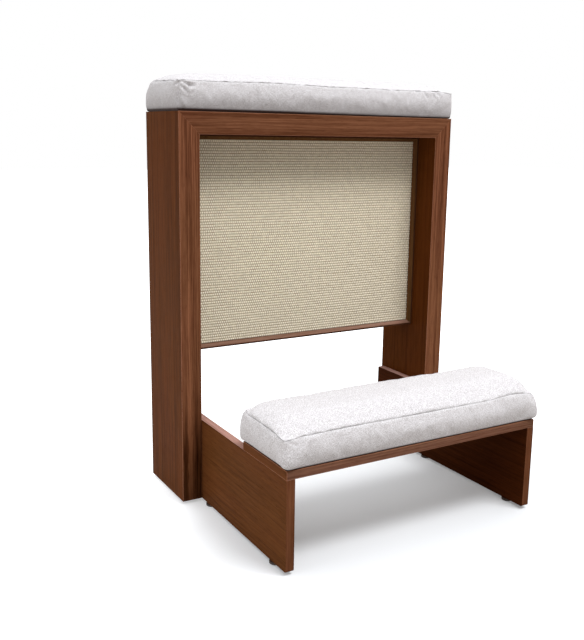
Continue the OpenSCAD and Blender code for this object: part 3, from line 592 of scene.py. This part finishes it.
threads = crossed(1300, 240, 1.0)
slubs = crossed(400, 1150, 2.0)
cloud = node(tree, "ShaderNodeTexNoise", {"Vector": flat, "Scale": 110, "Detail": 3.0})
mix = calc(tree, "MULTIPLY_ADD", slubs, 0.62, calc(
    tree, "MULTIPLY_ADD", threads, 0.30, calc(tree, "MULTIPLY", cloud.outputs["Fac"], 0.08)))
yarn = blended(tree, ranged(tree, mix, 0.40, 0.60), (0.455, 0.436, 0.450, 1),
               (0.83, 0.828, 0.862, 1))
# The seam's dark line: the seam together with painted shade in its groove.
seam_line_and_groove_shade = node(tree, "ShaderNodeAttribute", attribute_name="seam_line_and_groove_shade").outputs["Fac"]
yarn = blended(tree, seam_line_and_groove_shade, yarn, (0.13, 0.125, 0.125, 1))
# Painted shade: near black along the gap over the wood and darker over the lower boxing.
painted_under_shade = node(tree, "ShaderNodeAttribute", attribute_name="painted_under_shade").outputs["Fac"]
yarn = blended(tree, painted_under_shade, yarn, (0.035, 0.012, 0.008, 1), "MULTIPLY")
bump = node(tree, "ShaderNodeBump", {"Height": threads, "Strength": 0.5, "Distance": 0.0004})
bump = node(tree, "ShaderNodeBump", {"Height": slubs, "Strength": 0.35, "Distance": 0.0008,
            "Normal": bump.outputs[0]})
wire(tree, shader, {"Base Color": yarn, "Roughness": 0.9, "Specular IOR Level": 0.15,
                    "Sheen Weight": 0.15, "Sheen Roughness": 0.5, "Normal": bump.outputs[0]})

# The cloth's mesh has rows a few millimetres apart, which draw close together at the seam.
row_step = 0.0058
seam_rows = [0.0, 0.0012, 0.0026, 0.0044, 0.0068, 0.0105]
cover_roll, cover_corner, under_gap = 0.005, 0.005, 0.0001
turn_ins = (0.009, 0.018)
tiny = 1e-9


def spread(half):
    """Places of the cloth's rows from -half to half, closer together at both ends."""
    inner = half - seam_rows[-1]
    count = max(2, round(2 * inner / row_step))
    middle = [-inner + 2 * inner * i / count for i in range(1, count)]
    ends = [half - gap for gap in seam_rows]
    return [-end for end in ends] + middle + ends[::-1]


def boxed_pad(name, half_x, half_y, seat, seam, crown, swell, corner_swell, draw, corners,
              pressure, cap, hump=(0, 0), flatness=2.0, lean=0.0, rear=0.0):
    """A boxed cover centred on the origin: top panel, boxing, rolled lower edge and turn-in.
    Seat and seam are heights. The crown is how far the top swells, and flatness spreads it
    out. The boxing swells by swell, at its corners by corner_swell, and is drawn in at the
    seam by draw. Each corner of the seam, left or right and front or back, has its own
    draw-in and sag. The hump is the place and height of a rise in the front seam, rear
    raises the back seam, and lean takes the left end outwards. Pressure blows the cloth up,
    which moves no point further than cap."""
    xs, ys = spread(half_x), spread(half_y)
    low = seat + 0.0026
    depth = seam - low
    nx, ny = len(xs), len(ys)

    def pulled(x, y):
        """How far a point of the outline is drawn in at its corner, and how far it sags."""
        side = ((1 if x > 0 else -1), (1 if y > 0 else -1))
        away = hypot(half_x - abs(x), half_y - abs(y))
        near = exp(-(away / 0.022) ** 2)
        return Vector(side) * -0.7071 * corners[side][0] * near, corners[side][1] * near, near

    def rim_spot(x, y, t):
        """A point of the boxing over one point of the flat outline, at height share t."""
        edge_x, edge_y = half_x - cover_corner, half_y - cover_corner
        sign_x, sign_y = (1 if x > 0 else -1), (1 if y > 0 else -1)
        if abs(y) >= half_y - tiny and abs(x) <= edge_x:
            base, out = Vector((x, y)), Vector((0, sign_y))
        elif abs(x) >= half_x - tiny and abs(y) <= edge_y:
            base, out = Vector((x, y)), Vector((sign_x, 0))
        else:
            if abs(y) >= half_y - tiny:
                turn = radians(90 - 45 * (abs(x) - edge_x) / cover_corner)
            else:
                turn = radians(45 * (abs(y) - edge_y) / cover_corner)
            out = Vector((sign_x * cos(turn), sign_y * sin(turn)))
            base = Vector((sign_x * edge_x, sign_y * edge_y)) + cover_corner * out
        inward, sag, near = pulled(x, y)
        # Both swellings are 1 at their fullest: half-way up, and low down at a corner.
        move = (swell * (1 - near) * 4 * t * (1 - t) - draw * t ** 3
                + corner_swell * near * 1.87 * max(0, t) ** 0.25 * (1 - t))
        place = base + out * move + inward * t ** 5
        place.x -= lean * t * t * max(0, -x / half_x) ** 3
        ripple = 0.0014 * noise.noise(Vector((place.x * 9, place.y * 9, seat)))
        ripple += rear * (0.5 + 0.5 * y / half_y)
        if y < 0:
            ripple += hump[1] * exp(-((x - hump[0]) / 0.035) ** 2)
        return place, out, low + depth * t - (sag - ripple) * t ** 2

    rim = ([(x, -half_y) for x in xs] + [(half_x, y) for y in ys[1:]]
           + [(x, half_y) for x in xs[-2::-1]] + [(-half_x, y) for y in ys[-2:0:-1]])
    top_rim = {}
    for spot in rim:
        place, out, height = rim_spot(*spot, 1.0)
        top_rim[spot] = Vector((*place, height))
    ends = [top_rim[(side_x * half_x, side_y * half_y)] for side_x in (-1, 1)
            for side_y in (-1, 1)]
    shape = bmesh.new()
    uv = shape.loops.layers.uv.new("cloth")
    gap_layer = shape.verts.layers.float.new("seam_gap")
    grid = {}
    # The top panel is stretched between the four sides of the seam, and crowned.
    for i, x in enumerate(xs):
        for j, y in enumerate(ys):
            a, b = (x + half_x) / (2 * half_x), (y + half_y) / (2 * half_y)
            south, north = top_rim[(x, -half_y)], top_rim[(x, half_y)]
            west, east = top_rim[(-half_x, y)], top_rim[(half_x, y)]
            place = (south.lerp(north, b) + west.lerp(east, a)
                     - ends[0].lerp(ends[1], b).lerp(ends[2].lerp(ends[3], b), a))
            u = min(1, (half_x - abs(x)) / half_y)
            v = min(1, (half_y - abs(y)) / half_y)
            edge = ((1 - u) ** 5 + (1 - v) ** 5) ** 0.2
            place.z += crown * max(0, 1 - edge ** flatness) * (1 - 0.08 * (x / half_x) ** 2)
            vert = shape.verts.new(place)
            vert[gap_layer] = min(half_x - abs(x), half_y - abs(y))
            grid[i, j] = vert
    for i in range(nx - 1):
        for j in range(ny - 1):
            around = ((i, j), (i + 1, j), (i + 1, j + 1), (i, j + 1))
            face = shape.faces.new([grid[key] for key in around])
            for loop, (p, q) in zip(face.loops, around):
                loop[uv].uv = (xs[p], ys[q])
    ring = ([grid[i, 0] for i in range(nx)] + [grid[nx - 1, j] for j in range(1, ny)]
            + [grid[i, ny - 1] for i in range(nx - 2, -1, -1)]
            + [grid[0, j] for j in range(ny - 2, 0, -1)])
    length = [0.0]
    for first, second in zip(rim, rim[1:] + rim[:1]):
        length.append(length[-1] + hypot(second[0] - first[0], second[1] - first[1]))
    # The boxing goes down from the seam, rolls in at its lower edge and is turned under.
    # Its threads come from another part of the cloth than those of the top panel.
    drops = [seam_rows[-1] + row_step * k for k in range(1, 20)]
    drops = seam_rows[1:] + [drop for drop in drops if drop < depth - 0.003] + [depth]
    levels = ([("side", drop) for drop in drops] + [("roll", share) for share in (0.3, 0.65, 1.0)]
              + [("lip", inset) for inset in turn_ins])
    above, above_v = ring, 0.0
    for kind, amount in levels:
        below = []
        for spot in rim:
            if kind == "side":
                place, out, height = rim_spot(*spot, 1 - amount / depth)
            else:
                place, out, height = rim_spot(*spot, 0.0)
                if kind == "roll":
                    place = place - out * cover_roll * (1 - cos(amount * pi / 2))
                    height = low - (low - seat - under_gap) * sin(amount * pi / 2)
                else:
                    height = seat + under_gap
                    limit_x = half_x - cover_roll - amount
                    limit_y = half_y - cover_roll - amount
                    place = place - out * (cover_roll + amount)
                    place = Vector((max(-limit_x, min(limit_x, place.x)),
                                    max(-limit_y, min(limit_y, place.y))))
            vert = shape.verts.new((place.x, place.y, height))
            vert[gap_layer] = -amount if kind == "side" else -depth - 0.01
            below.append(vert)
        below_v = -amount if kind == "side" else above_v - 0.003
        count = len(rim)
        for n in range(count):
            m = (n + 1) % count
            face = shape.faces.new((above[m], above[n], below[n], below[m]))
            for loop, (s, v) in zip(face.loops, ((length[n + 1], above_v), (length[n], above_v),
                                                 (length[n], below_v), (length[n + 1], below_v))):
                loop[uv].uv = (s + 1.3, v - half_y - 0.05)
        above, above_v = below, below_v
    bmesh.ops.remove_doubles(shape, verts=shape.verts, dist=1e-5)
    for face in shape.faces:
        face.smooth = True
    data = bpy.data.meshes.new(name)
    shape.to_mesh(data)
    pinned = [vert.index for vert in shape.verts
              if abs(vert[gap_layer]) < 1e-6 or vert[gap_layer] < -depth + 0.0005]
    shape.free()
    piece = bpy.data.objects.new(name, data)
    bpy.context.scene.collection.objects.link(piece)

    # The cloth is blown up a little and settles, held along its seam and its lower edge.
    piece.vertex_groups.new(name="sewn").add(pinned, 1.0, "REPLACE")
    fabric = piece.modifiers.new("settling", "CLOTH")
    fabric.settings.quality = 6
    fabric.settings.mass = 0.25
    fabric.settings.tension_stiffness = 18
    fabric.settings.compression_stiffness = 12
    fabric.settings.shear_stiffness = 8
    fabric.settings.bending_stiffness = 0.4
    fabric.settings.shrink_min = -0.015
    fabric.settings.shrink_max = -0.015
    fabric.settings.use_pressure = True
    fabric.settings.uniform_pressure_force = pressure
    fabric.settings.vertex_group_mass = "sewn"
    fabric.settings.effector_weights.gravity = 0
    fabric.point_cache.frame_start, fabric.point_cache.frame_end = 1, 20
    for moment in range(1, 21):
        bpy.context.scene.frame_set(moment)
    settled = piece.evaluated_get(bpy.context.evaluated_depsgraph_get())
    moved = [vert.co.copy() for vert in settled.data.vertices]
    bpy.context.scene.frame_set(1)
    piece.modifiers.remove(fabric)
    piece.vertex_groups.clear()
    for vert, place in zip(data.vertices, moved):
        shift = place - vert.co
        if shift.length > cap:
            shift *= cap / shift.length
        vert.co += shift
    finer = piece.modifiers.new("finer", "SUBSURF")
    finer.levels = finer.render_levels = 1
    ready = bpy.context.evaluated_depsgraph_get()
    smooth = bpy.data.meshes.new_from_object(piece.evaluated_get(ready),
                                             preserve_all_data_layers=True, depsgraph=ready)
    piece.modifiers.remove(finer)
    piece.data = smooth
    bpy.data.meshes.remove(data)
    smooth.name = name
    return piece


def sew(piece, seat, creases, shade, shadow_line_high, shadow_line_left):
    """Draws in the seam, lets the cloth gather along it, and presses in the given creases:
    each has its middle, with its height over the seat, its direction, half its length, its
    width and its depth. The cloth is painted dark as shaded along the gap over the wood, up to
    the height given by the fifth argument and higher at the left end by the sixth. Shade is
    painted shade over the lower part of the boxing."""
    data = piece.data
    gaps = [item.value for item in data.attributes["seam_gap"].data]
    line = data.attributes.new("seam_line_and_groove_shade", "FLOAT", "POINT")
    under_shade = data.attributes.new("painted_under_shade", "FLOAT", "POINT")
    normals = [vert.normal.copy() for vert in data.vertices]
    for n, vert in enumerate(data.vertices):
        gap, spot = gaps[n], vert.co
        rise = max(0, spot.z - seat)
        # Painted shade: dark along the gap over the wood, higher at the left end, and softer over
        # the lower boxing.
        tall = shadow_line_high + shadow_line_left * min(1, max(0, 0.3 - spot.x / 0.45))
        under_shade.data[n].value = min(1, exp(-(rise / tall) ** 4) + shade * exp(-(rise / 0.026) ** 2))
        if spot.z < seat + 0.0006:
            continue
        # The seam sinks in between two low ridges, gathers the cloth beside it, and the
        # whole surface is a little uneven.
        # The seam's dark line is the seam together with painted shade in its groove.
        line.data[n].value = 0.75 * exp(-(gap / 0.0008) ** 2)
        move = -0.0014 * exp(-(gap / 0.0015) ** 2)
        move += 0.0004 * exp(-((abs(gap) - 0.006) / 0.004) ** 2)
        wave = noise.noise(Vector((spot.x * 60, spot.y * 60, 3.1 if gap > 0 else 8.7)))
        move += 0.0011 * wave * exp(-(abs(gap) / 0.015) ** 1.5)
        slow = noise.noise(spot * 19 + Vector((2.3, 0.4, 1.7)))
        move += 0.0011 * slow * min(1, (spot.z - seat) / 0.01)
        for (mid_x, mid_y, mid_rise), along, half, width, depth in creases:
            away = spot - Vector((mid_x, mid_y, seat + mid_rise))
            if away.length < half * 2.5:
                unit = Vector(along).normalized()
                s = away.dot(unit)
                far = (away - unit * s).length
                groove = exp(-(far / width) ** 2)
                ridge = 0.55 * exp(-((far - 2 * width) / width) ** 2)
                move -= depth * (groove - ridge) * exp(-(s / half) ** 4)
        vert.co += normals[n] * move


board_low, board_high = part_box("knee_board")
rail_low, rail_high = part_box("top_rail")
armrest = boxed_pad(
    "armrest_pad", half_x=0.3193, half_y=0.0832, seat=rail_high[2], seam=rail_high[2] + 0.0565,
    crown=0.0135, swell=0.0055, corner_swell=0.002, draw=0.0005,
    corners={(-1, -1): (-0.002, 0.001), (1, -1): (-0.002, 0.003), (-1, 1): (0.015, 0.001),
             (1, 1): (0.012, 0.002)}, pressure=4.0, cap=0.003)
sew(armrest, rail_high[2], [
    ((-0.307, -0.085, 0.0490), (1, 0, -0.35), 0.013, 0.0028, 0.0030),
    ((-0.310, -0.085, 0.0400), (1, 0, -1.0), 0.011, 0.0028, 0.0030),
    ((-0.3185, -0.0825, 0.030), (0, 0, 1), 0.024, 0.0032, 0.0026),
    ((-0.3195, -0.074, 0.0465), (0, 1, -0.5), 0.010, 0.0026, 0.0024),
    ((-0.296, -0.086, 0.0445), (1, 0, 0.25), 0.009, 0.0034, 0.0024),
    ((-0.314, -0.0835, 0.010), (0.5, 0, -1), 0.008, 0.0028, 0.0018),
    ((0.246, -0.086, 0.046), (0.5, 0, -1), 0.012, 0.0028, 0.0020),
    ((0.266, -0.086, 0.046), (0.5, 0, -1), 0.010, 0.0026, 0.0020),
    ((0.280, -0.0855, 0.047), (0.5, 0, -1), 0.010, 0.0026, 0.0022)],
    shade=0.36, shadow_line_high=0.0036, shadow_line_left=0.0022)
knee_pad = boxed_pad(
    "knee_pad", half_x=0.2780, half_y=0.0795, seat=board_high[2], seam=board_high[2] + 0.0570,
    crown=0.0220, swell=0.0065, corner_swell=0.0080, draw=0.0005,
    corners={(-1, -1): (-0.004, 0.002), (1, -1): (0.004, 0.005), (-1, 1): (0.007, -0.002),
             (1, 1): (0.008, 0.001)}, pressure=4.0, cap=0.003, hump=(0.212, 0.0035),
    flatness=4.2, lean=0.006, rear=0.003)
sew(knee_pad, board_high[2], [
    ((-0.245, -0.060, 0.066), (0.55, -1, -0.3), 0.010, 0.0026, 0.0016),
    ((-0.2785, -0.079, 0.022), (0.25, 0.25, 1), 0.012, 0.0030, 0.0014),
    ((-0.268, -0.082, 0.046), (1, 0, -0.6), 0.008, 0.0024, 0.0012)],
    shade=0.10, shadow_line_high=0.0034, shadow_line_left=0.0)
for piece, ground, covered in ((armrest, (rail_low[1] + rail_high[1]) / 2, "armrest_cover"),
                               (knee_pad, (board_low[1] + board_high[1]) / 2, "knee_pad_cover")):
    piece.data.transform(Matrix.Translation((0, ground, 0)))
    piece.data.materials.append(linen)
    wall = piece.modifiers.new("cloth_thickness", "SOLIDIFY")
    wall.thickness = 0.0012
    wall.offset = -1
    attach(piece, "frame")
    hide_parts(covered)


# Inside the pads: a plywood base that the cover is stapled to, a block of foam on it, and a
# black dust cloth under it. They come from the frame as they are and take only a finish.
def plain_finish(name, light, dark, scale, rough, relief, stretch=(1, 1, 1), metallic=0.0):
    """A finish specked with a light and a dark tone, uneven in gloss and relief with them."""
    finish, tree, shader = new_finish(name)
    speck = stretched(tree, node(tree, "ShaderNodeTexCoord").outputs["Object"], stretch, 4.0,
                      Scale=scale)
    tone = blended(tree, ranged(tree, speck, 0.35, 0.65), (*dark, 1), (*light, 1))
    bump = node(tree, "ShaderNodeBump", {"Height": speck, "Strength": 0.5, "Distance": relief})
    wire(tree, shader, {"Base Color": tone, "Metallic": metallic, "Normal": bump.outputs[0],
                        "Roughness": calc(tree, "MULTIPLY_ADD", speck, 0.15, rough - 0.07)})
    return finish


def give(finish, *names):
    """Gives pieces of the frame a finish in place of the ones that they came with."""
    for name in names:
        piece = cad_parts[name]
        if piece.data.materials:
            for index in range(len(piece.data.materials)):
                piece.data.materials[index] = finish
        else:
            piece.data.materials.append(finish)


give(plain_finish("birch_plywood", (0.66, 0.48, 0.28), (0.42, 0.27, 0.14), 1.0, 0.6, 0.0003,
                  (30, 60, 700)), "armrest_base", "knee_pad_base")
give(plain_finish("pad_foam", (0.85, 0.77, 0.50), (0.70, 0.60, 0.34), 900, 0.95, 0.0004),
     "armrest_foam", "knee_pad_foam")
give(plain_finish("black_dust_cloth", (0.02, 0.02, 0.02), (0.008, 0.008, 0.008), 1400, 0.95,
                  0.0003), "armrest_dust_cloth", "knee_pad_dust_cloth")


# The core of the woven panel is a particle board, hidden between its two sheets. The joints
# of the portal, the panel and the knee board are glued on beech dowels, hidden in the wood.
give(plain_finish("particle_board", (0.55, 0.42, 0.26), (0.30, 0.21, 0.12), 420, 0.85, 0.0004),
     "panel_core")
give(plain_finish("beech_dowel", (0.68, 0.50, 0.32), (0.52, 0.36, 0.21), 500, 0.6, 0.0002),
     "mitre_dowels", "panel_dowels", "board_dowels")


# The steel parts: screws through the side panels and into the pads' bases, the threaded
# inserts in the wood's lower edges, and the stems of the levelling glides that turn in them.
# All are zinc-plated and lightly brushed.
glide_places = ("front_left", "front_right", "middle_left", "middle_right", "post_left",
                "post_right", "rear_left", "rear_right")
give(plain_finish("zinc_plated_steel", (0.62, 0.63, 0.64), (0.42, 0.43, 0.45), 900, 0.35,
                  0.0001, metallic=1.0), "side_screws", "armrest_screws", "knee_pad_screws",
     "glide_inserts", *["stem_" + place for place in glide_places])


# The levelling glides' feet: moulded dark nylon discs on the stems, scuffed a little by the
# floor.
give(plain_finish("dark_nylon", (0.050, 0.026, 0.016), (0.024, 0.013, 0.009), 260, 0.5, 0.0002),
     *["foot_" + place for place in glide_places])
